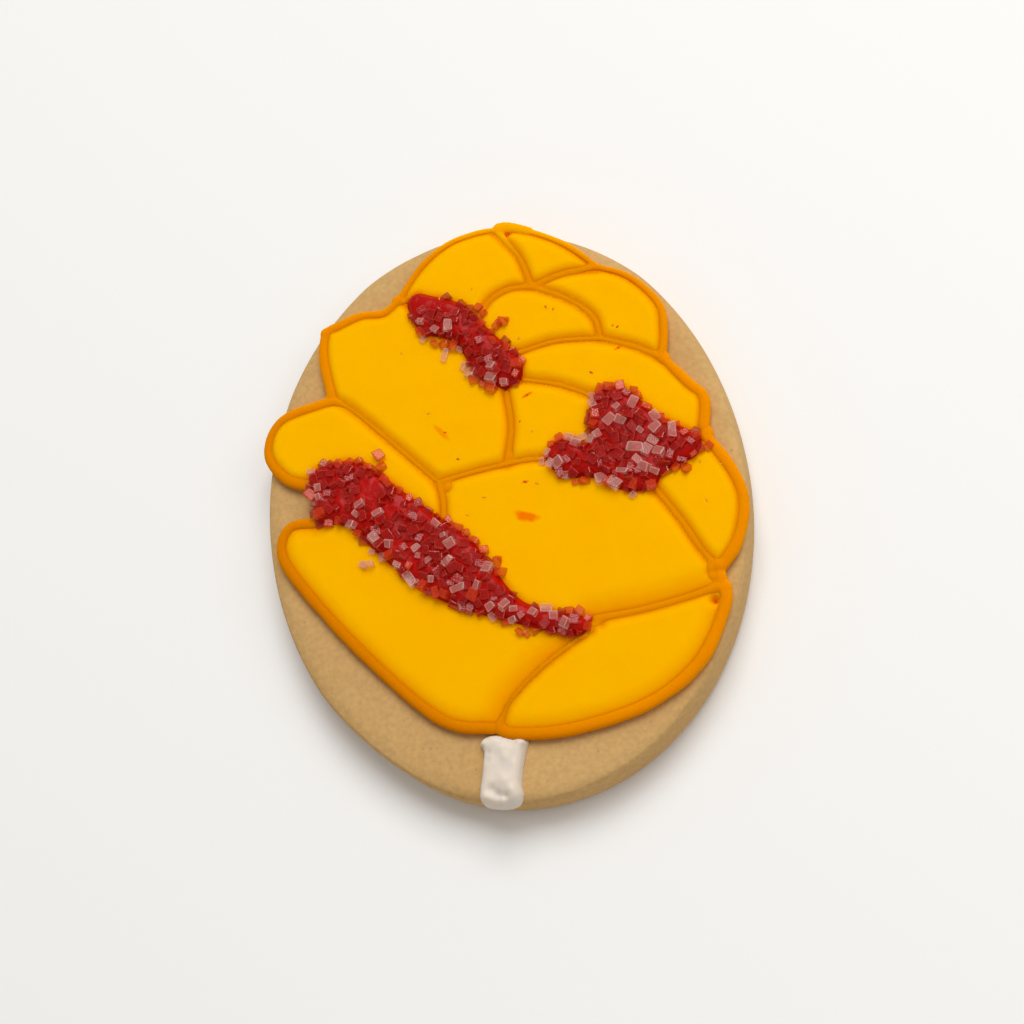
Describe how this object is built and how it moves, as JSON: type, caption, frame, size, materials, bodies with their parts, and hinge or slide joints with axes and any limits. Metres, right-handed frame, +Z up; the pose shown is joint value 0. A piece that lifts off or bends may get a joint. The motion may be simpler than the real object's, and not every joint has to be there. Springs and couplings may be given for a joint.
{
  "type": "decorated oval sugar cookie",
  "caption": "Oval sugar cookie iced as a carved mango flower, with flooded yellow petals, red gel streaks crusted with coarse sugar and a white icing stick",
  "frame": {"origin": "centre of the biscuit's underside", "axes": "+Z up, +Y along the oval's length towards the top of the flower, +X to the right"},
  "size_m": [0.0704, 0.0862, 0.0119],
  "materials": {
    "baked_dough": "matte baked sugar dough with fine crumb, pale tan",
    "yellow_icing": "dried royal icing, satin, warm yellow with deeper orange piped edges",
    "sugared_red_gel": "clear red gel under coarse translucent sugar crystals",
    "white_icing": "stiff white royal icing, satin"
  },
  "bodies": {
    "root": {"biscuit": "baked_dough", "petal_top_left": "yellow_icing", "petal_top_right": "yellow_icing", "petal_upper_right": "yellow_icing", "petal_heart": "yellow_icing", "petal_left_large": "yellow_icing", "petal_right_arch": "yellow_icing", "petal_middle": "yellow_icing", "petal_left_small": "yellow_icing", "petal_centre": "yellow_icing", "petal_right": "yellow_icing", "petal_lower_left": "yellow_icing", "petal_lower_right": "yellow_icing", "red_streak_upper": "sugared_red_gel", "red_streak_star": "sugared_red_gel", "red_streak_lower": "sugared_red_gel", "white_stick": "white_icing"}
  },
  "joints": []
}
